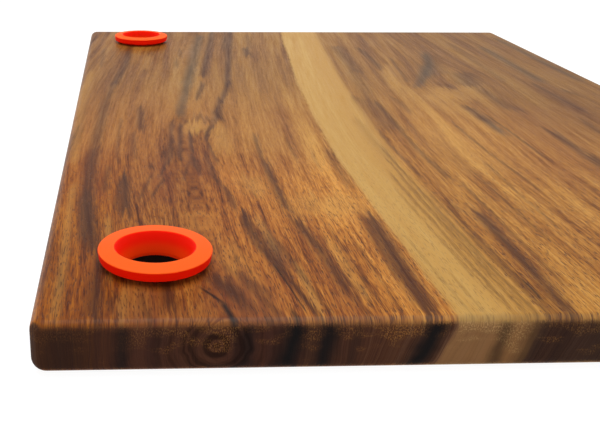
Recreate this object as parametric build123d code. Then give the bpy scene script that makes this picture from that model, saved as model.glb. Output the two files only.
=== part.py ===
# Chopping board: one plank with a silicone grip ring pushed into a hole at each end of its left side.
# Millimetres. X across the board, Y along the grain, Z up from the underside, origin under the middle.
from build123d import *
import os

# Board
board_width = 330.0
board_length = 470.0
board_thickness = 18.0
corner_radius = 5.0  # upright corners, seen from above
top_edge_radius = 4.0
bottom_edge_radius = 4.5

# Holes for the rings
hole_from_side = 39.5  # hole axis to the left side
hole_from_end = 43.5  # hole axis to the near or far end
hole_radius = 14.0
hole_top_chamfer = 0.6  # hidden under the flange, clears the ring's inner corner
hole_low_rounding = 1.5

# Grip ring, heights measured from the top of the board
flange_radius = 20.0
flange_edge_height = 4.95
flange_draft = 0.5  # how far the flange's side draws in towards its lower edge
lower_edge_height = 1.6  # the flange's lower edge stands clear of the board
foot_radius = 15.8  # where the flange's hollow underside meets the board
rim_radius = 13.0
rim_rise = 0.75  # rim above the flange's outer edge
bore_radius = 10.5
neck_depth = 3.0
land_length = 1.6  # straight part of the bore, below its funnel
neck_clearance = 0.05
lead_in = 0.6  # chamfer that guides the neck into the hole
ring_edge_bevel = 0.45  # flange edge and rim


def make_board(hole_places):
    with BuildPart() as plank:
        with BuildSketch():
            RectangleRounded(board_width, board_length, corner_radius)
        extrude(amount=board_thickness)
        levels = plank.faces().filter_by(Axis.Z).sort_by(Axis.Z)
        fillet(levels[-1].outer_wire().edges(), top_edge_radius)
        levels = plank.faces().filter_by(Axis.Z).sort_by(Axis.Z)
        fillet(levels[0].outer_wire().edges(), bottom_edge_radius)
        with Locations(*hole_places):
            Hole(hole_radius)
        rims = plank.faces().filter_by(Axis.Z).sort_by(Axis.Z)
        top_rims = [edge for wire in rims[-1].inner_wires() for edge in wire.edges()]
        low_rims = [edge for wire in rims[0].inner_wires() for edge in wire.edges()]
        chamfer(top_rims, hole_top_chamfer)
        fillet(low_rims, hole_low_rounding)
    return plank.part


def make_ring():
    neck_radius = hole_radius - neck_clearance
    # Half section, from the flange's foot out, over the rim and down the bore to the neck
    section = [
        (foot_radius, 0),
        (flange_radius - flange_draft, lower_edge_height),
        (flange_radius, flange_edge_height),
        (rim_radius, flange_edge_height + rim_rise),
        (bore_radius, land_length - neck_depth),
        (bore_radius, -neck_depth),
        (neck_radius - lead_in, -neck_depth),
        (neck_radius, lead_in - neck_depth),
        (neck_radius, 0),
    ]
    with BuildPart() as ring:
        with BuildSketch(Plane.XZ):
            with BuildLine():
                Polyline(*section, close=True)
            make_face()
        revolve(axis=Axis.Z)
        circles = ring.edges().filter_by(GeomType.CIRCLE).sort_by(Axis.Z)
        chamfer(circles[-2:], ring_edge_bevel)
    return ring.part


os.makedirs("parts", exist_ok=True)

hole_x = hole_from_side - board_width / 2
hole_y = board_length / 2 - hole_from_end
ring_places = {"near_ring": (hole_x, -hole_y), "far_ring": (hole_x, hole_y)}

export_step(make_board(ring_places.values()), "parts/board.step")

ring = make_ring()
for name, (x, y) in ring_places.items():
    export_step(Pos(x, y, board_thickness) * ring, f"parts/{name}.step")
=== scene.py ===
import math
from types import SimpleNamespace

import bmesh
import bpy
from mathutils import Matrix, Vector


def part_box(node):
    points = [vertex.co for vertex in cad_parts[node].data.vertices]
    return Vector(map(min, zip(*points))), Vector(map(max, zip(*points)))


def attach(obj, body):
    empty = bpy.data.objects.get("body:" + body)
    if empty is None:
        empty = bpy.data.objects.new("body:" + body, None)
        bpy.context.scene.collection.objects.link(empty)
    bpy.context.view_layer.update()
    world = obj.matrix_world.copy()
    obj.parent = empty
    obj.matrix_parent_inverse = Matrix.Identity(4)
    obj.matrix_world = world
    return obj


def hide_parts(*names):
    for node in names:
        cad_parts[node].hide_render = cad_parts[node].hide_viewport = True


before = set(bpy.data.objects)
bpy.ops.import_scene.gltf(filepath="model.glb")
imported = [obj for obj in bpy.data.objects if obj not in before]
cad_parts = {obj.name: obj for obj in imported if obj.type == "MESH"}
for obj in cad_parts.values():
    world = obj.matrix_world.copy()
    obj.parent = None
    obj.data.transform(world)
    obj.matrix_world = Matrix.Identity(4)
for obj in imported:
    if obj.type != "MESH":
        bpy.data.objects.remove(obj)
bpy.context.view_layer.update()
print("frame loaded")

mm = 0.001  # lengths below are in millimetres, apart from the light's and the camera's
boardLow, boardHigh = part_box("board")
boardSize = (boardHigh - boardLow) / mm


def ringPlace(name):
    low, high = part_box(name)
    return Vector(((low.x + high.x) / 2, (low.y + high.y) / 2, boardHigh.z))


def put(tree, socket, value):
    # a socket is linked, a plain value is set, and a colour gets its alpha
    if isinstance(value, bpy.types.NodeSocket):
        tree.links.new(value, socket)
    elif socket.type == "RGBA":
        socket.default_value = (*value, 1)
    else:
        socket.default_value = value


def node(tree, kind, inputs=None, **settings):
    made = tree.nodes.new(kind)
    for name, value in settings.items():
        setattr(made, name, value)
    for name, value in (inputs or {}).items():
        put(tree, made.inputs[name], value)
    return made


def calc(tree, operation, *values, clamp=False):
    inputs = dict(enumerate(values))
    return node(tree, "ShaderNodeMath", inputs, operation=operation, use_clamp=clamp).outputs[0]


def product(tree, first, *others):
    for other in others:
        first = calc(tree, "MULTIPLY", first, other)
    return first


def distance(tree, a, b):
    return calc(tree, "SQRT", calc(tree, "ADD", product(tree, a, a), product(tree, b, b)))


def vector(tree, x, y, z):
    return node(tree, "ShaderNodeCombineXYZ", {0: x, 1: y, 2: z}).outputs[0]


def smooth(tree, value, start, end, low=0.0, high=1.0):
    inputs = {"Value": value, "From Min": start, "From Max": end, "To Min": low, "To Max": high}
    return node(tree, "ShaderNodeMapRange", inputs, interpolation_type="SMOOTHSTEP").outputs[0]


def noise(tree, where, detail=2.0, rough=0.5):
    inputs = {"Vector": where, "Scale": 1.0, "Detail": detail, "Roughness": rough}
    return node(tree, "ShaderNodeTexNoise", inputs).outputs["Fac"]


def sway(tree, pattern, amount, base):
    # base, moved at most half of amount either way by a pattern between 0 and 1
    return calc(tree, "MULTIPLY_ADD", calc(tree, "SUBTRACT", pattern, 0.5), amount, base)


def blend(tree, factor, first, second, way="MIX"):
    made = node(tree, "ShaderNodeMix", data_type="RGBA", blend_type=way)
    put(tree, made.inputs[0], factor)
    put(tree, made.inputs[6], first)
    put(tree, made.inputs[7], second)
    return made.outputs[2]


def ramp(tree, value, stops):
    made = node(tree, "ShaderNodeValToRGB", {"Fac": value})
    while len(made.color_ramp.elements) < len(stops):
        made.color_ramp.elements.new(0.5)
    for element, (place, colour) in zip(made.color_ramp.elements, stops):
        element.position = place
        element.color = (*colour, 1)
    return made.outputs["Color"]


def objectAxes(tree):
    place = node(tree, "ShaderNodeTexCoord").outputs["Object"]
    return node(tree, "ShaderNodeSeparateXYZ", {0: place}).outputs


def newGroup(name, inputs, outputs):
    tree = bpy.data.node_groups.new(name, "ShaderNodeTree")
    for label in inputs:
        tree.interface.new_socket(label, in_out="INPUT", socket_type="NodeSocketFloat")
    for label, kind in outputs.items():
        tree.interface.new_socket(label, in_out="OUTPUT", socket_type="NodeSocket" + kind)
    return tree, tree.nodes.new("NodeGroupInput").outputs, tree.nodes.new("NodeGroupOutput").inputs


def useGroup(tree, group, **inputs):
    made = node(tree, "ShaderNodeGroup", node_tree=group)
    for name, value in inputs.items():
        put(tree, made.inputs[name], value)
    return made.outputs


def newMaterial(name):
    material = bpy.data.materials.new(name)
    material.use_nodes = True
    tree = material.node_tree
    return material, tree, tree.nodes["Principled BSDF"].inputs


def makeStreakGroup():
    # a band along the grain: a soft hump across it, a start and an end along it;
    # kept is what all bands so far leave of the colour below
    inputs = ("across", "along", "ragged", "kept", "centre", "slant", "reach", "start", "end", "fade",
              "strength")
    tree, got, give = newGroup("grainStreak", inputs, {"kept": "Float"})
    # a trace of kept makes each band wait for the one before, or the shader runs out of room
    trace = 1e-6
    along = calc(tree, "MULTIPLY_ADD", got["kept"], trace, got["along"])
    ragged = calc(tree, "MULTIPLY_ADD", got["kept"], trace, got["ragged"])
    middle = calc(tree, "MULTIPLY_ADD", along, got["slant"], got["centre"])
    offset = calc(tree, "ABSOLUTE", calc(tree, "SUBTRACT", got["across"], middle))
    hump = smooth(tree, offset, 0.0, got["reach"], 1.0, 0.0)
    begun = smooth(tree, ragged, calc(tree, "SUBTRACT", got["start"], got["fade"]),
                   calc(tree, "ADD", got["start"], got["fade"]))
    ended = smooth(tree, ragged, calc(tree, "SUBTRACT", got["end"], got["fade"]),
                   calc(tree, "ADD", got["end"], got["fade"]), 1.0, 0.0)
    mask = product(tree, hump, begun, ended)
    left = calc(tree, "MULTIPLY_ADD", mask, product(tree, got["strength"], -1.0), 1.0)
    put(tree, give["kept"], product(tree, left, got["kept"]))
    return tree


streakGroup = makeStreakGroup()


# lengths are measured from the left side (x), the near end (y) and the underside (z)
woodLook = {
    # how the grain runs
    "straightAt": 150.0,  # y
    "nearBow": 9.0,  # bend to the right, one bowSpan nearer than where the grain is straight
    "farBow": 23.5,  # and one bowSpan farther
    "bowSpan": 300.0,
    "bowPower": 1.4,
    "bowFade": (185.0, 305.0),  # between these x the bend dies out
    "lean": (85.0, 120.0, 0.35),  # between these x the grain comes to lean, by this slope
    # wander of the grain: size across, along and up, how far it goes, detail
    "waver": ((14.0, 80.0, 14.0), 2.6, 2.0),
    "drift": ((60.0, 210.0, 40.0), 9.0, 1.0),
    "pith": (57.0, 10.0),  # heart of the tree, x and z
    # knots: x and y of the middle, reach across and along, push
    "knots": ((67, 205, 9, 18, 6), (240, 300, 18, 30, 12)),
    "knotFalloff": 0.7,

    # random figure: what it follows, size across and along the grain, seed, detail, roughness
    "figure": {
        "broad": ("ring", 18.0, 230.0, 1.3, 2.0, 0.5),
        "medium": ("ring", 5.0, 130.0, 4.7, 2.0, 0.5),
        "fine": ("ring", 1.3, 34.0, 8.1, 3.0, 0.6),
        "fibre": ("ring", 0.5, 8.0, 2.9, 2.0, 0.5),
        "steps": ("line", 1.5, 300.0, 3.6, 2.0, 0.5),
        "pores": ("line", 0.40, 4.0, 6.2, 1.0, 0.5),
    },
    "stepLength": 36.0,  # how unevenly colours stop along the grain
    "stepShare": 0.4,  # and how much of that a step across the grain shows
    "fuzz": 3.0,  # how ragged the sides of streaks are
    "rightLead": (190.0, 300.0, 80.0),  # between these x, y comes to count as this much farther

    # heartwood: the tone picks a colour, and the figure sways the tone
    "tones": ((0.32, (0.10, 0.026, 0.004)), (0.43, (0.27, 0.094, 0.011)),
              (0.54, (0.42, 0.175, 0.024)), (0.67, (0.56, 0.275, 0.050))),
    "tone": 0.53,
    "coarseShare": {"broad": 0.34, "medium": 0.36},
    "fineShare": {"fine": 0.60, "fibre": 0.54},
    # fades: what each follows, from and to, first and last share
    "lively": (("y", 60, 260, 1, 0.38), ("x", 120, 170, 1, 0.75)),  # where the fine figure is strong
    # tinted regions: colour and fades
    "regions": (
        ((0.74, 0.56, 0.42), (("x", 35, 130, 1, 0), ("y", 90, 330, 1, 0.3))),  # redder left and near
        ((0.70, 0.72, 0.80), (("farther", 160, 330, 0, 1),)),  # darker and cooler far away
        ((0.76, 0.70, 0.55), (("x", 205, 290, 0, 1),)),  # darker to the right
        ((0.95, 0.90, 0.88), (("step", 79, 86, 0.5, 0), ("x", 45, 60, 0, 1))),  # darker short of a step
        # brighter left of the sapwood
        ((1.15, 1.04, 0.92), (("y", 110, 180, 1, 0), ("x", 50, 75, 0, 1), ("x", 125, 165, 1, 0))),
        ((0.97, 0.84, 0.20), (("y", 130, 190, 1, 0), ("x", 20, 36, 1, 0))),  # yellower left edge
    ),

    # sapwood: the tone goes from gold to pale
    "sapwood": (128.0, 156.5),  # x of its borders
    "leftEdge": (-1.6, 1.2),  # how each border blends in
    "rightEdge": (-3.0, 2.5),
    "rightFuzz": 7.0,
    "sapColour": (0.530, 0.305, 0.077),
    "sapGold": (0.43, 0.200, 0.031),
    "sapTone": 0.78,
    "sapShare": {"fine": 0.8, "medium": 1.2, "fibre": 0.35},
    "goldShare": 0.75,
    "goldFrom": (11.0, 21.0),  # right of the left border
    "goldFades": (("jagged", 110, 200, 1, 0.45), ("grainy", 0.85, 1.1, 0.35, 1)),

    "pore": (0.075, 0.020, 0.007),
    "poreFrom": (0.56, 0.66),  # where in their random figure they begin
    "poreFades": (("sap", 0.2, 0.8, 0.75, 0.30), ("y", 40, 190, 1, 0.25)),
    "streakGrain": (("fine", 0.35, 0.65, 1, 0.85),),  # streaks let a little of the fine figure through
    "streakReach": 1.9,  # how far a streak fades out to the side, in half widths
    # how softly the tips of each kind end
    "streakFades": {"pale": 6.0, "gold": 8.0, "red": 9.0, "grey": 9.0, "brown": 5.0, "crack": 3.0},
    # streaks: x and y of the near tip, x and y of the far tip, half width, strength
    "brown": (0.055, 0.015, 0.005),
    "brownStreaks": (
        # left of the near ring and on to the far one
        (19, 0, 20, 45, 2.5, 0.92), (18, 45, 14, 100, 2.8, 0.92), (13, 100, 14, 170, 2.8, 0.80),
        (14, 170, 17, 250, 2.8, 0.65), (17, 250, 22, 300, 2.0, 0.60), (21, 290, 28, 345, 2.4, 0.75),
        (28, 345, 32, 410, 2.3, 0.75), (2, 20, 2, 200, 2.2, 0.45), (12, 345, 12, 400, 1.6, 0.35),
        (29, 84, 28.5, 132, 2.2, 0.95), (25, 92, 27, 128, 1.2, 0.65), (20, 110, 21, 145, 1.6, 0.55),
        (25, 150, 26, 215, 1.0, 0.40), (36, 198, 37, 240, 1.9, 0.65), (33, 150, 33, 190, 1.6, 0.40),
        # below the near ring
        (25, 11, 25, 22, 1.7, 0.70), (43, 4, 43, 30, 2.4, 0.92), (36, 0, 35, 16, 1.2, 0.60),
        (72, 2, 58, 31, 2.6, 0.55), (66, 16, 58, 34, 3.5, 0.75), (76, 16, 64, 40, 2.2, 0.50),
        (78, 0, 70, 24, 1.4, 0.55),
        # swirl by the small knot, and on to the far end
        (40, 136, 40.5, 143, 1.5, 0.90), (44, 128, 49, 152, 0.9, 0.75), (38, 98, 47, 130, 1.0, 0.70),
        (34, 96, 40, 130, 0.9, 0.60), (49.5, 148, 51, 176, 2.4, 0.65), (51, 174, 53.5, 212, 1.3, 0.65),
        (54, 152, 56, 185, 1.1, 0.80), (56, 183, 58, 212, 1.2, 0.75), (60, 160, 61.5, 192, 1.0, 0.85),
        (61, 136, 60, 158, 2.0, 0.75), (68, 118, 67, 150, 2.0, 0.50), (71, 150, 69.5, 178, 0.9, 0.65),
        (68.5, 180, 71, 195, 1.0, 0.80), (71, 193, 75.5, 212, 1.3, 0.80), (53, 120, 58, 150, 0.8, 0.45),
        (68, 212, 69, 224, 4.0, 0.45), (73, 211, 76, 222, 2.4, 0.50), (60, 211, 60, 222, 1.6, 0.40),
        (78, 212, 79, 236, 2.5, 0.85), (79, 232, 84, 260, 2.1, 0.80), (84, 255, 93, 300, 2.0, 0.80),
        (91, 290, 100, 365, 2.3, 0.75), (100, 365, 112, 465, 2.6, 0.70), (70, 255, 77, 300, 1.6, 0.70),
        (78, 315, 87, 385, 2.3, 0.75), (87, 385, 97, 465, 2.6, 0.70), (114.5, 372, 116.5, 404, 2.6, 0.75),
        (120, 405, 124, 450, 2.4, 0.35), (66, 370, 68, 395, 1.5, 0.40),
        # between the rings and the sapwood
        (93.5, 90, 93, 150, 1.9, 0.85), (92.5, 150, 94.5, 190, 1.3, 0.65), (73.5, 92, 70, 122, 1.7, 0.70),
        (96, 84, 94, 92, 1.8, 0.50), (89, 2, 83.6, 28, 1.3, 0.92), (83.6, 28, 78, 54, 1.8, 0.92),
        (78, 54, 75.5, 82, 2.2, 0.92), (94, 2, 88, 34, 0.8, 0.55), (88, 34, 84, 60, 1.2, 0.55),
        (102, 18, 99, 48, 2.2, 0.80), (99, 48, 94.5, 82, 2.2, 0.88), (104, 0, 102, 20, 1.0, 0.50),
        (110, 8, 107, 70, 0.8, 0.40), (115, 6, 113, 60, 0.8, 0.40), (124, 2, 124.5, 82, 3.0, 0.92),
        (121, 20, 121, 70, 1.4, 0.45), (125, 110, 126, 160, 2.2, 0.45), (108, 150, 109, 186, 0.8, 0.35),
        (117, 136, 118, 162, 0.9, 0.35), (66, 4, 62, 60, 0.7, 0.40), (57, 40, 56, 84, 0.8, 0.35),
        # right of the sapwood
        (167, 0, 168, 24, 2.4, 0.80), (168, 24, 169.5, 84, 2.2, 0.90), (161, 6, 160, 92, 0.9, 0.55),
        (164, 84, 161, 98, 1.4, 0.55), (174, 20, 175, 120, 0.9, 0.50), (172, 120, 173, 250, 1.5, 0.60),
        (160, 125, 160, 195, 1.0, 0.50), (167, 195, 168, 262, 6.5, 0.45), (172, 262, 180, 330, 4.5, 0.35),
        (181, 325, 186, 410, 4.5, 0.50), (200, 335, 202, 405, 2.6, 0.55), (207, 300, 216, 370, 1.2, 0.40),
        (187, 228, 187, 262, 2.0, 0.35), (186, 60, 186, 130, 0.9, 0.45), (195, 70, 196, 150, 0.8, 0.40),
        (206, 110, 204, 212, 0.8, 0.50), (228, 145, 228, 226, 0.9, 0.60), (223, 211, 223, 242, 3.2, 0.75),
        (249, 162, 250, 197, 2.6, 0.75), (249, 125, 250, 160, 3.6, 0.80), (229, 284, 228, 296, 4.0, 0.35),
        (244, 288, 252, 326, 8.0, 0.60), (246, 238, 247, 284, 4.0, 0.50), (250, 230, 250, 239, 3.4, 0.50),
        (275, 186, 276, 214, 2.4, 0.45), (287, 225, 286, 292, 1.6, 0.50), (299, 268, 299, 281, 2.4, 0.50),
        (270, 300, 276, 420, 3.0, 0.25), (236, 318, 246, 375, 6.0, 0.30)),
    "grey": (0.070, 0.045, 0.024),
    "greyStreaks": (
        (58, 224, 61, 252, 2.8, 0.70), (61, 250, 68, 300, 3.0, 0.75), (67, 295, 74, 352, 3.4, 0.75),
        (74, 350, 86, 455, 3.6, 0.65), (100, 395, 106, 450, 2.0, 0.35), (211, 289, 222, 315, 3.4, 0.70),
        (222, 311, 238, 353, 5.4, 0.85), (238, 350, 245.5, 386, 3.6, 0.75), (222.5, 189, 223, 218, 2.6, 0.75),
        (294, 298, 296, 405, 3.6, 0.55), (321, 300, 321, 440, 2.8, 0.55), (83, 34, 81, 62, 3.0, 0.45),
        (14, 60, 13, 110, 2.4, 0.60), (62, 335, 63, 362, 1.8, 0.35)),
    "pale": (0.52, 0.265, 0.055),
    "paleStreaks": (
        (224, 256, 226, 284, 18.0, 0.45), (210, 228, 210, 270, 4.0, 0.40), (65, 192, 65, 212, 5.0, 0.65),
        (76, 160, 77, 206, 4.0, 0.40), (100, 160, 112, 360, 11.0, 0.15), (196, 285, 205, 345, 4.0, 0.40),
        (112, 83, 112, 104, 14.0, 0.45), (72, 4, 66, 56, 5.0, 0.25), (192, 130, 193, 205, 14.0, 0.30),
        (34, 3, 34, 28, 3.5, 0.40), (84, 104, 83, 128, 5.0, 0.40), (90, 6, 88, 40, 1.5, 0.60),
        (83, 48, 80, 80, 1.5, 0.50), (106, 14, 104, 60, 2.0, 0.40), (8, 4, 7, 120, 1.6, 0.35),
        (24, 30, 22, 84, 1.4, 0.40), (28, 2, 29, 24, 1.6, 0.45), (41, 335, 44, 375, 2.5, 0.35),
        (5, 150, 6, 330, 2.5, 0.35)),
    "gold": (0.18, 0.075, 0.012),
    "goldStreaks": (
        (150, 4, 147, 130, 0.7, 0.70), (153.5, 2, 151, 150, 0.6, 0.75), (157, 0, 154, 175, 0.8, 0.75),
        (148, 10, 146, 60, 0.4, 0.60), (155, 6, 153, 90, 0.4, 0.65), (151.5, 30, 150, 120, 0.4, 0.55),
        (160, 0, 157, 110, 0.7, 0.70), (146, 30, 144, 110, 0.5, 0.45), (153, 150, 154, 215, 3.0, 0.30),
        (141, 0, 139, 30, 0.8, 0.35), (136, 2, 133, 60, 0.7, 0.40), (163, 0, 161, 60, 0.8, 0.60)),
    "red": (0.17, 0.034, 0.010),
    "redStreaks": (
        (98, 128, 114, 240, 12.0, 0.24), (222, 116, 262, 240, 22.0, 0.22), (52, -10, 52, 36, 14.0, 0.25),
        (34, -10, 36, 34, 9.0, 0.58), (72, -10, 66, 32, 9.0, 0.70), (100, 0, 97, 76, 4.0, 0.40),
        (44, 96, 44, 150, 6.0, 0.40), (15, 100, 15, 170, 6.0, 0.30), (86, 0, 80, 80, 5.0, 0.25),
        (124, 4, 124, 84, 5.0, 0.35), (61, 130, 62, 165, 5.0, 0.35), (170, 20, 170, 90, 4.0, 0.35)),
    "crack": (0.012, 0.005, 0.004),
    "crackStreaks": (
        (64, -6, 60, 13, 1.15, 0.95), (60, 13, 54, 23, 0.7, 0.90), (85, 6, 80, 40, 0.35, 0.80),
        (162.5, 12, 162.5, 26, 0.4, 0.70), (82, -4, 80.5, 8, 0.9, 0.75)),

    # end grain: size across and up, seed, detail and roughness of its random figure
    "endFigure": {
        "speck": (0.42, 0.65, 0.0, 3.0, 0.7),
        "wave": (5.0, 5.0, 0.0, 1.0, 0.5),
        "clump": (9.0, 4.0, 5.0, 1.0, 0.5),
    },
    "fringe": 2.4,  # how uneven its border is
    "endFrom": (-1.7, -0.3),  # from the plank's end
    "cornerFrom": (-4.5, -0.5),  # from the plank's side, where the border moves in
    "cornerReach": 3.2,
    "endMix": 0.6,  # share of its own colours over those of the face
    "endPlain": (0.30, 0.105, 0.020),
    "endHeart": (0.26, 0.295, 0.98),  # tints of the oiled heartwood and sapwood
    "endSap": (0.50, 0.43, 0.71),
    "endDark": (0.010, 0.008, 0.008),
    # dark bands: x at the underside and at the top, half width, strength
    "endBands": (
        (9, 10, 8.0, 0.50), (27.5, 28.5, 2.6, 0.75), (38, 39, 1.8, 0.40), (66, 67, 2.4, 0.75),
        (78, 82, 4.4, 1.0), (89.5, 92, 3.8, 0.95), (98, 101, 1.8, 0.45), (118.5, 126, 4.0, 1.0),
        (143.5, 147, 2.2, 0.60), (153, 158, 3.6, 0.60), (162, 165, 5.0, 0.45), (175, 178, 10.0, 0.58)),
    "bandWave": 3.0,
    "ringDark": (0.008, 0.003, 0.002),
    "ringWidth": 2.2,
    "ringFrom": (0.40, 0.62),
    "ringFade": (7.0, 24.0, 0.7, 0.0),  # away from the heart
    "fleckHeart": (0.33, 0.150, 0.042),
    "fleckSap": (0.52, 0.34, 0.160),
    "fleckClump": 36.0,
    "fleckFades": (("speck", 0.47, 0.60, 0, 1), ("clumps", 9, 17, 0, 1), ("x", 20, 60, 0.30, 0.65)),
    # painted sheen on the rounded top edge above the end grain, greyer towards the right
    "paintedEdgeSheen": (0.13, 0.105, 0.085),
    "paintedEdgeSheenFrom": (-4.4, -1.8),  # from the plank's end
    "paintedEdgeSheenFade": (30.0, 90.0, 0.08, 0.28),  # over x

    # dark bore wood with painted shade: the holes' walls go near black
    "holeWoodAndShade": (0.010, 0.003, 0.001),
    "holeFade": (14.4, 15.2, 1.0, 0.0),  # away from a hole's axis

    "rough": 0.42,
    "roughSway": -0.25,
    "endRough": 0.3,  # more, on the end grain
    "faceShine": 0.11,
    "endShine": 0.05,
    "heights": {"pits": -0.8, "fibre": 0.4, "fine": 0.5},
    "bumpStrength": 0.35,
    "bumpDepth": 0.25,
}


def bowAt(x, y):
    # how far the grain has bent to the right at one place
    fadeFrom, fadeTo = woodLook["bowFade"]
    share = min(max((x - fadeFrom) / (fadeTo - fadeFrom), 0), 1)
    share = 1 - share * share * (3 - 2 * share)
    bend = (y - woodLook["straightAt"]) / woodLook["bowSpan"]
    return woodLook["farBow" if bend > 0 else "nearBow"] * abs(bend) ** woodLook["bowPower"] * share


def streakShare(tree, kind, across, along, ragged):
    kept = 1.0
    for x1, y1, x2, y2, half, strength in woodLook[kind + "Streaks"]:
        start = x1 - bowAt(x1, y1)
        slant = (x2 - bowAt(x2, y2) - start) / (y2 - y1)
        kept = useGroup(tree, streakGroup, across=across, along=along, ragged=ragged, kept=kept,
                        centre=start - slant * y1, slant=slant, reach=half * woodLook["streakReach"],
                        start=y1, end=y2, fade=woodLook["streakFades"][kind], strength=strength)["kept"]
    return calc(tree, "SUBTRACT", 1.0, kept)


def findGrain(tree):
    # at holds the places and patterns that the colours follow, and each layer of colour adds its own
    x, y, z = [calc(tree, "MULTIPLY_ADD", axis, 1 / mm, -low / mm)
               for axis, low in zip(objectAxes(tree), boardLow)]
    fromMiddle = calc(tree, "ABSOLUTE", calc(tree, "SUBTRACT", y, boardSize.y / 2))
    at = SimpleNamespace(x=x, y=y, z=z, fromMiddle=fromMiddle)

    def wander(name, base):
        sizes, amount, detail = woodLook[name]
        where = vector(tree, *[calc(tree, "DIVIDE", axis, size) for axis, size in zip((x, y, z), sizes)])
        return sway(tree, noise(tree, where, detail), amount, base)

    # the grain bends to the right, less and less towards the right side, and leans to the left below
    bend = calc(tree, "DIVIDE", calc(tree, "SUBTRACT", y, woodLook["straightAt"]), woodLook["bowSpan"])
    bow = product(tree, calc(tree, "POWER", calc(tree, "ABSOLUTE", bend), woodLook["bowPower"]),
                  smooth(tree, bend, -0.01, 0.01, woodLook["nearBow"], woodLook["farBow"]),
                  smooth(tree, x, *woodLook["bowFade"], 1.0, 0.0))
    leanFrom, leanTo, slope = woodLook["lean"]
    depth = calc(tree, "SUBTRACT", boardSize.z, z)
    lean = product(tree, depth, smooth(tree, x, leanFrom, leanTo, 0.0, slope))
    at.line = wander("waver", calc(tree, "ADD", calc(tree, "SUBTRACT", x, bow), lean))

    # the random figure flows round the knots
    drift = wander("drift", at.line)
    for knotX, knotY, reachX, reachY, push in woodLook["knots"]:
        dx = calc(tree, "DIVIDE", calc(tree, "SUBTRACT", x, knotX), reachX)
        dy = calc(tree, "DIVIDE", calc(tree, "SUBTRACT", y, knotY), reachY)
        away = calc(tree, "ADD", product(tree, dx, dx), product(tree, dy, dy))
        near = calc(tree, "EXPONENT", product(tree, away, -woodLook["knotFalloff"]))
        drift = calc(tree, "ADD", drift, product(tree, dx, near, -push))

    # distance from the heart
    at.abovePith = calc(tree, "SUBTRACT", z, woodLook["pith"][1])
    at.ring = distance(tree, calc(tree, "SUBTRACT", drift, woodLook["pith"][0]), at.abovePith)

    for name, (follows, across, along, seed, detail, rough) in woodLook["figure"].items():
        where = vector(tree, calc(tree, "DIVIDE", getattr(at, follows), across),
                       calc(tree, "DIVIDE", y, along), seed)
        setattr(at, name, noise(tree, where, detail, rough))

    # y with an uneven front, y that comes sooner on the right, and a nearly even front
    at.jagged = sway(tree, at.steps, woodLook["stepLength"], y)
    leadFrom, leadTo, lead = woodLook["rightLead"]
    at.farther = calc(tree, "MULTIPLY_ADD", smooth(tree, x, leadFrom, leadTo), lead, y)
    at.step = sway(tree, at.steps, woodLook["stepLength"] * woodLook["stepShare"], y)
    at.fuzzy = sway(tree, at.fibre, woodLook["fuzz"], at.line)
    at.grainy = calc(tree, "ADD", at.medium, at.fine)
    return at


def around(place, name):
    return [place + step for step in woodLook[name]]


def fadeOver(tree, at, fades):
    return product(tree, *[smooth(tree, getattr(at, name), *fade) for name, *fade in fades])


def swayTone(tree, at, tone, shares):
    for name, share in shares.items():
        tone = sway(tree, getattr(at, name), share, tone)
    return tone


def heartColour(tree, at):
    lively = fadeOver(tree, at, woodLook["lively"])
    fineShare = {name: product(tree, lively, share) for name, share in woodLook["fineShare"].items()}
    tone = swayTone(tree, at, woodLook["tone"], woodLook["coarseShare"])
    colour = ramp(tree, swayTone(tree, at, tone, fineShare), woodLook["tones"])
    for tint, fades in woodLook["regions"]:
        colour = blend(tree, fadeOver(tree, at, fades), colour, tint, "MULTIPLY")
    return colour


def addSapwood(tree, at, colour):
    # a crisp left border; the right side is golden and streaky in the near half
    left, right = woodLook["sapwood"]
    loose = sway(tree, at.medium, woodLook["rightFuzz"], at.fuzzy)
    at.sap = product(tree, smooth(tree, at.fuzzy, *around(left, "leftEdge")),
                     smooth(tree, loose, *around(right, "rightEdge"), 1.0, 0.0))
    gold = product(tree, smooth(tree, at.line, *around(left, "goldFrom")),
                   fadeOver(tree, at, woodLook["goldFades"]))
    tone = swayTone(tree, at, woodLook["sapTone"], woodLook["sapShare"])
    tone = calc(tree, "MULTIPLY_ADD", gold, -woodLook["goldShare"], tone)
    return blend(tree, at.sap, colour, blend(tree, tone, woodLook["sapGold"], woodLook["sapColour"]))


def addFaceMarks(tree, at, colour):
    for kind in ("pale", "gold", "red", "grey", "brown"):
        share = streakShare(tree, kind, at.fuzzy, at.y, at.jagged)
        share = product(tree, share, fadeOver(tree, at, woodLook["streakGrain"]))
        colour = blend(tree, share, colour, woodLook[kind])
    # short dark pores, fainter on sapwood and far away
    at.pits = smooth(tree, at.pores, *woodLook["poreFrom"])
    deep = fadeOver(tree, at, woodLook["poreFades"])
    colour = blend(tree, product(tree, at.pits, deep), colour, woodLook["pore"])
    return blend(tree, streakShare(tree, "crack", at.line, at.y, at.y), colour, woodLook["crack"])


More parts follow.
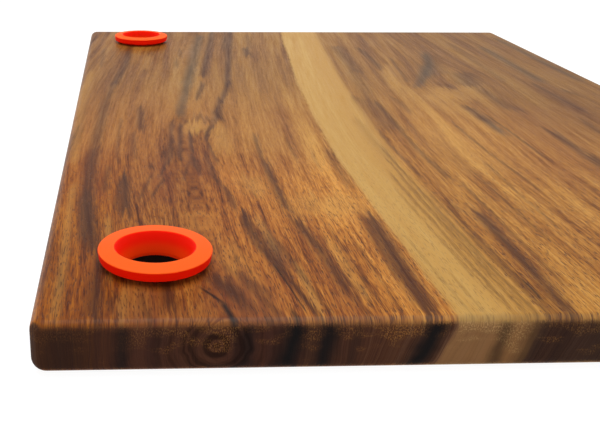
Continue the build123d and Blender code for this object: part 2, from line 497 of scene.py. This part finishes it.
def addEndGrain(tree, at, colour):
    halfX, halfY = boardSize.x / 2, boardSize.y / 2
    for name, (sizeX, sizeZ, seed, detail, rough) in woodLook["endFigure"].items():
        where = vector(tree, calc(tree, "DIVIDE", at.x, sizeX), seed, calc(tree, "DIVIDE", at.z, sizeZ))
        setattr(at, name, noise(tree, where, detail, rough))

    # where it begins: an uneven border that also takes in the rounded corners
    fromSide = calc(tree, "ABSOLUTE", calc(tree, "SUBTRACT", at.x, halfX))
    corner = smooth(tree, fromSide, *around(halfX, "cornerFrom"), 0.0, woodLook["cornerReach"])
    fringe = calc(tree, "ADD", sway(tree, at.speck, woodLook["fringe"], at.fromMiddle), corner)
    at.end = smooth(tree, fringe, *around(halfY, "endFrom"))

    # it soaks up the oil and goes dark, most of all in bands
    plain = blend(tree, at.sap, woodLook["endPlain"], woodLook["sapColour"])
    tint = blend(tree, at.sap, woodLook["endHeart"], woodLook["endSap"])
    endColour = blend(tree, 1.0, blend(tree, woodLook["endMix"], colour, plain), tint, "MULTIPLY")
    wavy = sway(tree, at.wave, woodLook["bandWave"], at.x)
    kept = 1.0
    for low, high, half, strength in woodLook["endBands"]:
        # each starts and ends well outside the board
        kept = useGroup(tree, streakGroup, across=wavy, along=at.z, ragged=at.z, kept=kept, centre=low,
                        slant=(high - low) / boardSize.z, reach=half * woodLook["streakReach"],
                        start=-boardSize.z, end=2 * boardSize.z, fade=1.0, strength=strength)["kept"]
    endColour = blend(tree, kept, woodLook["endDark"], endColour)

    # growth rings about the heart
    turn = distance(tree, calc(tree, "SUBTRACT", wavy, woodLook["pith"][0]), at.abovePith)
    rings = noise(tree, vector(tree, calc(tree, "DIVIDE", turn, woodLook["ringWidth"]), 3.0, 0.0), 1.0)
    rings = product(tree, smooth(tree, rings, *woodLook["ringFrom"]),
                    smooth(tree, turn, *woodLook["ringFade"]))
    endColour = blend(tree, rings, endColour, woodLook["ringDark"])

    # broken golden fibres near the top
    at.clumps = sway(tree, at.clump, woodLook["fleckClump"], at.z)
    flecks = product(tree, fadeOver(tree, at, woodLook["fleckFades"]), kept)
    fleckColour = blend(tree, at.sap, woodLook["fleckHeart"], woodLook["fleckSap"])
    endColour = blend(tree, flecks, endColour, blend(tree, woodLook["endMix"], colour, fleckColour))

    # painted sheen: the rounded top edge above it is greyed to stand in for a grazing reflection
    paintedEdgeSheen = product(tree, smooth(tree, at.fromMiddle, *around(halfY, "paintedEdgeSheenFrom")),
                   smooth(tree, at.x, *woodLook["paintedEdgeSheenFade"]))
    colour = blend(tree, paintedEdgeSheen, colour, woodLook["paintedEdgeSheen"])
    return blend(tree, at.end, colour, endColour)


def addHoleWalls(tree, at, colour):
    # dark bore wood, taken to near black as painted shade inside the holes
    holeX, holeY, _ = (ringPlace("far_ring") - (boardLow + boardHigh) / 2) / mm
    dx = calc(tree, "SUBTRACT", at.x, holeX + boardSize.x / 2)
    dy = calc(tree, "SUBTRACT", at.fromMiddle, holeY)
    wall = smooth(tree, distance(tree, dx, dy), *woodLook["holeFade"])
    return blend(tree, wall, colour, woodLook["holeWoodAndShade"])


def makeWoodGroup():
    tree, _, give = newGroup("woodFigure", (), {"colour": "Color", "roughness": "Float", "height": "Float"})
    at = findGrain(tree)
    colour = heartColour(tree, at)
    for addOn in (addSapwood, addFaceMarks, addEndGrain, addHoleWalls):
        colour = addOn(tree, at, colour)
    put(tree, give["colour"], colour)
    rough = sway(tree, at.fine, woodLook["roughSway"], woodLook["rough"])
    put(tree, give["roughness"], calc(tree, "MULTIPLY_ADD", at.end, woodLook["endRough"], rough))
    height = 0.0
    for name, share in woodLook["heights"].items():
        height = calc(tree, "MULTIPLY_ADD", getattr(at, name), share, height)
    put(tree, give["height"], height)
    return tree


woodGroup = makeWoodGroup()


def makeWood(name, shine):
    material, tree, shader = newMaterial(name)
    figure = useGroup(tree, woodGroup)
    put(tree, shader["Base Color"], figure["colour"])
    put(tree, shader["Roughness"], figure["roughness"])
    shader["Specular IOR Level"].default_value = woodLook[shine]
    bump = node(tree, "ShaderNodeBump", {"Strength": woodLook["bumpStrength"],
                                         "Distance": woodLook["bumpDepth"] * mm, "Height": figure["height"]})
    put(tree, shader["Normal"], bump.outputs[0])
    return material


faceWood = makeWood("oiledFaceGrain", "faceShine")
endWood = makeWood("oiledEndGrain", "endShine")
print("wood made")


boardShape = {
    "cornerRadius": 5.0,  # upright corners
    "topRadius": 4.0,
    "bottomRadius": 4.5,
    "holeRadius": 14.0,
    "holeRounding": 1.5,  # at the underside
    "holeSteps": 96,
    "segments": 8,
    "plugMargin": 3.0,  # how far the holes' plugs reach past the board
    "plugLip": (0.18, 0.1),  # how far their flare runs on, out and down, so that the cut leaves no slivers
    "endFacing": 0.8,  # faces that look along the grain at least this much are end grain
}


def roundEdges(bm, edges, radius):
    bmesh.ops.bevel(bm, geom=edges, offset=radius * mm, offset_type="OFFSET", affect="EDGES",
                    segments=boardShape["segments"], profile=0.5, material=-1)


def rimAt(bm, height):
    return [edge for edge in bm.edges if all(abs(v.co.z - height) < 1e-6 for v in edge.verts)]


def newObject(name, bm):
    bmesh.ops.recalc_face_normals(bm, faces=bm.faces)
    mesh = bpy.data.meshes.new(name)
    bm.to_mesh(mesh)
    bm.free()
    made = bpy.data.objects.new(name, mesh)
    bpy.context.scene.collection.objects.link(made)
    return made


def spinSection(bm, section, middle, steps, closed=True):
    # turn a half section, (radius, height) pairs, about an upright axis
    corners = [bm.verts.new((middle.x + r * mm, middle.y, middle.z + h * mm)) for r, h in section]
    following = corners[1:] + corners[:1] if closed else corners[1:]
    edges = [bm.edges.new(pair) for pair in zip(corners, following)]
    bmesh.ops.spin(bm, geom=corners + edges, cent=middle, axis=(0, 0, 1), angle=math.tau, steps=steps,
                   use_merge=True)
    bmesh.ops.remove_doubles(bm, verts=bm.verts, dist=1e-7)


def shadeSmooth(piece):
    piece.data.shade_smooth()
    piece.data.set_sharp_from_angle(angle=math.radians(40))
    piece.modifiers.new("flatFaces", "WEIGHTED_NORMAL").keep_sharp = True


def makeBoard():
    bm = bmesh.new()
    bmesh.ops.create_cube(bm, size=1.0)
    bmesh.ops.scale(bm, vec=boardHigh - boardLow, verts=bm.verts)
    bmesh.ops.translate(bm, vec=(boardHigh + boardLow) / 2, verts=bm.verts)
    upright = [e for e in bm.edges if e.verts[0].co.z != e.verts[1].co.z]
    roundEdges(bm, upright, boardShape["cornerRadius"])
    roundEdges(bm, rimAt(bm, boardHigh.z), boardShape["topRadius"])
    roundEdges(bm, rimAt(bm, boardLow.z), boardShape["bottomRadius"])
    piece = newObject("choppingBoard", bm)

    # both holes are cut with turned plugs that flare out at the underside
    r, flare, margin = boardShape["holeRadius"], boardShape["holeRounding"], boardShape["plugMargin"]
    below = -boardSize.z
    turns = [math.radians(a) for a in range(15, 91, 15)]
    curve = [(r + flare - flare * math.sin(a), below + flare - flare * math.cos(a)) for a in turns]
    lipOut, lipDown = boardShape["plugLip"]
    wide = r + flare + lipOut
    section = [(0, below - margin), (wide, below - margin), (wide, below - lipDown), *curve,
               (r, margin), (0, margin)]
    bm = bmesh.new()
    for name in ("near_ring", "far_ring"):
        spinSection(bm, section, ringPlace(name), boardShape["holeSteps"], closed=False)
    plug = newObject("holePlug", bm)
    cut = piece.modifiers.new("holes", "BOOLEAN")
    cut.operation, cut.solver, cut.object = "DIFFERENCE", "EXACT", plug
    seen = piece.evaluated_get(bpy.context.evaluated_depsgraph_get())
    piece.data = bpy.data.meshes.new_from_object(seen)
    piece.modifiers.clear()
    bpy.data.objects.remove(plug)

    piece.data.materials.clear()
    piece.data.materials.append(faceWood)
    piece.data.materials.append(endWood)
    for face in piece.data.polygons:
        face.material_index = int(abs(face.normal.y) > boardShape["endFacing"])
    shadeSmooth(piece)
    return piece


board = makeBoard()
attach(board, "root")
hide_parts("board")
print("board made:", len(board.data.polygons), "faces")


ringShape = {
    "flangeRadius": 19.93,
    "flangeHeight": 4.95,
    "flangeDraft": 0.5,
    "lowerEdge": 1.6,  # flange's lower edge above the board
    "footRadius": 15.8,
    "rimRadius": 13.0,
    "rimRise": 0.72,
    "rimStretch": 1.08,  # a pushed-in ring's rim is a little wider across the board than along it
    "boreRadius": 10.5,
    "neckRadius": 13.95,
    "neckDepth": 3.0,
    "landLength": 1.6,
    "leadIn": 0.6,
    "lowerRounding": 0.35,  # the flange's two edges, the rim and the lower lip are softened
    "upperRounding": 0.5,
    "rimRounding": 0.45,
    "lipRounding": 0.3,
    "segments": 4,
    "steps": 128,
}


siliconeLook = {
    "topColour": (1.0, 0.115, 0.010),
    # painted shade: the flange's side and the bore walls get a deeper red copy of the top's orange
    "wallShadeColour": (1.0, 0.010, 0.000),
    "boreShadeColour": (1.0, 0.065, 0.003),  # painted shade down in the bore, between the top's orange and the wall's red
    "topHeight": (4.6, 4.85),  # above the board
    "topOutside": (0.05, 0.25),  # of the rim
    "lowHeight": (3.4, -1.0),
    "lowOutside": (0.15, -0.35),
    "rough": 0.5,
    "shine": 0.05,
}


def makeSilicone():
    material, tree, shader = newMaterial("orangeSilicone")
    axes = objectAxes(tree)
    middle = ringPlace("far_ring")
    # millimetres from the axis of either ring, as the rim is stretched, and above the board
    dx = calc(tree, "DIVIDE", calc(tree, "SUBTRACT", axes[0], middle.x), ringShape["rimStretch"] * mm)
    dy = calc(tree, "DIVIDE", calc(tree, "SUBTRACT", calc(tree, "ABSOLUTE", axes[1]), middle.y), mm)
    height = calc(tree, "DIVIDE", calc(tree, "SUBTRACT", axes[2], middle.z), mm)
    outside = calc(tree, "SUBTRACT", distance(tree, dx, dy), ringShape["rimRadius"])
    top, low = [product(tree, smooth(tree, outside, *siliconeLook[part + "Outside"]),
                        smooth(tree, height, *siliconeLook[part + "Height"])) for part in ("top", "low")]
    # painted shade: only the top face keeps the silicone's own orange, and the sides and the bore take the
    # shaded copies
    wall = blend(tree, low, siliconeLook["wallShadeColour"], siliconeLook["boreShadeColour"])
    put(tree, shader["Base Color"], blend(tree, top, wall, siliconeLook["topColour"]))
    shader["Roughness"].default_value = siliconeLook["rough"]
    shader["Specular IOR Level"].default_value = siliconeLook["shine"]
    return material


silicone = makeSilicone()


def makeRing(name, cadNode):
    shape = ringShape
    flangeR, rimR, boreR, neckR = (shape[k + "Radius"] for k in ("flange", "rim", "bore", "neck"))
    flangeTop, neckEnd = shape["flangeHeight"], -shape["neckDepth"]
    lowerEdge = (flangeR - shape["flangeDraft"], shape["lowerEdge"])
    upperEdge = (flangeR, flangeTop)
    rim = (rimR, flangeTop + shape["rimRise"])
    lip = (boreR, neckEnd)
    section = [(shape["footRadius"], 0.0), lowerEdge, upperEdge, rim,
               (boreR, neckEnd + shape["landLength"]), lip,
               (neckR - shape["leadIn"], neckEnd), (neckR, neckEnd + shape["leadIn"]), (neckR, 0.0)]
    middle = ringPlace(cadNode)
    bm = bmesh.new()
    spinSection(bm, section, middle, shape["steps"])

    def atHeight(v, height):
        return abs(v.co.z - middle.z - height * mm) < 1e-6

    rimVerts = [v for v in bm.verts if atHeight(v, rim[1])]
    bmesh.ops.scale(bm, vec=(shape["rimStretch"], 1, 1), space=Matrix.Translation(-middle), verts=rimVerts)
    slack = 0.1 * rimR  # the stretched rim is still found by its radius
    for edge, (r, h) in {"lower": lowerEdge, "upper": upperEdge, "rim": rim, "lip": lip}.items():
        loop = [e for e in bm.edges if all(atHeight(v, h) for v in e.verts)
                and all(abs((v.co - middle).xy.length - r * mm) < slack * mm for v in e.verts)]
        bmesh.ops.bevel(bm, geom=loop, offset=shape[edge + "Rounding"] * mm, offset_type="OFFSET",
                        affect="EDGES", segments=shape["segments"], profile=0.5, material=-1)
    piece = newObject(name, bm)
    piece.data.materials.append(silicone)
    shadeSmooth(piece)
    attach(piece, "root")
    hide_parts(cadNode)
    return piece


nearRing = makeRing("nearGripRing", "near_ring")
farRing = makeRing("farGripRing", "far_ring")
print("rings made:", len(nearRing.data.polygons), "faces each")


# in metres
lightLook = {
    "lampPower": 31.0,
    "lampSize": 1.6,
    "lampPlace": (-0.1, 0.35, 1.7),
    # the white room by the height of a ray: from and to, first and last strength
    "skyFill": (0.0, 0.5, 2.3, 0.28),  # for matte surfaces
    "skySeen": (0.2, 0.48, 1.0, 0.03),  # for reflections, with a dark ceiling
    "floorGrey": 0.16,
    "floorWhite": 0.94,  # makes the bare floor white, and its shadow faint
    "floorGlow": 0.30,  # what the white floor adds to matte surfaces
    "floorSize": 6.0,
    "floorDrop": 0.0002,  # below the board
}


def shownMask(tree):
    # rays that see white: straight from the camera, in a reflection, or through something clear
    path = node(tree, "ShaderNodeLightPath").outputs
    seen = calc(tree, "ADD", path["Is Camera Ray"], path["Is Glossy Ray"])
    return calc(tree, "ADD", seen, path["Is Transmission Ray"], clamp=True)


def makeFloor():
    bm = bmesh.new()
    bmesh.ops.create_grid(bm, x_segments=1, y_segments=1, size=lightLook["floorSize"])
    bmesh.ops.translate(bm, vec=(0, 0, boardLow.z - lightLook["floorDrop"]), verts=bm.verts)
    floor = newObject("whiteFloor", bm)
    material, tree, shader = newMaterial("whiteFloor")
    put(tree, shader["Base Color"], (lightLook["floorGrey"],) * 3)
    shader["Roughness"].default_value = 1.0
    shader["Specular IOR Level"].default_value = 0.0
    put(tree, shader["Emission Color"], (1, 1, 1))
    glow = smooth(tree, shownMask(tree), 0.0, 1.0, lightLook["floorGlow"], lightLook["floorWhite"])
    put(tree, shader["Emission Strength"], glow)
    floor.data.materials.append(material)


def makeLight():
    lamp = bpy.data.lights.new("overheadLamp", "AREA")
    lamp.energy = lightLook["lampPower"]
    lamp.size = lightLook["lampSize"]
    holder = bpy.data.objects.new("overheadLamp", lamp)
    holder.location = lightLook["lampPlace"]
    holder.rotation_euler = (-holder.location).to_track_quat("-Z", "Y").to_euler()  # aims at the origin
    bpy.context.scene.collection.objects.link(holder)

    world = bpy.data.worlds.new("whiteRoom")
    bpy.context.scene.world = world
    world.use_nodes = True
    tree = world.node_tree
    way = node(tree, "ShaderNodeTexCoord").outputs["Generated"]
    up = node(tree, "ShaderNodeSeparateXYZ", {0: way}).outputs[2]
    # the camera itself sees white all over
    sky = calc(tree, "MAXIMUM", smooth(tree, up, *lightLook["skySeen"]),
               node(tree, "ShaderNodeLightPath").outputs["Is Camera Ray"])
    strength = node(tree, "ShaderNodeMix", {0: shownMask(tree)}, data_type="FLOAT")
    put(tree, strength.inputs[2], smooth(tree, up, *lightLook["skyFill"]))
    put(tree, strength.inputs[3], sky)
    background = tree.nodes["Background"].inputs
    put(tree, background["Strength"], strength.outputs[0])
    put(tree, background["Color"], (1, 1, 1))


# fitted to the photo, in metres and radians
cameraLook = {
    "place": (-0.13338, -0.45724, 0.14671),
    "pitch": 0.3965,
    "yaw": 0.0484,
    "roll": 0.0111,
    "focal": 848.92,  # in pixels of the photo, as are the next two
    "axisX": 170.0,  # column that the lens's axis meets
    "photoWidth": 600,
    "sensorWidth": 36.0,  # in millimetres, as Blender has it
}


def makeCamera():
    pitch, yaw, roll = cameraLook["pitch"], cameraLook["yaw"], cameraLook["roll"]
    forward = Vector((math.sin(yaw) * math.cos(pitch), math.cos(yaw) * math.cos(pitch), -math.sin(pitch)))
    level = Vector((math.cos(yaw), -math.sin(yaw), 0))
    rise = level.cross(forward)
    right = math.cos(roll) * level + math.sin(roll) * rise
    up = math.cos(roll) * rise - math.sin(roll) * level
    lens = bpy.data.cameras.new("photoCamera")
    lens.sensor_width = cameraLook["sensorWidth"]
    lens.lens = cameraLook["focal"] * lens.sensor_width / cameraLook["photoWidth"]
    lens.shift_x = 0.5 - cameraLook["axisX"] / cameraLook["photoWidth"]
    lens.clip_start = 0.01
    camera = bpy.data.objects.new("photoCamera", lens)
    turn = Matrix((right, up, -forward)).transposed().to_4x4()
    camera.matrix_world = Matrix.Translation(cameraLook["place"]) @ turn
    bpy.context.scene.collection.objects.link(camera)
    bpy.context.scene.camera = camera


makeFloor()
makeLight()
makeCamera()
bpy.context.scene.view_settings.view_transform = "Standard"
print("floor, light and camera made")
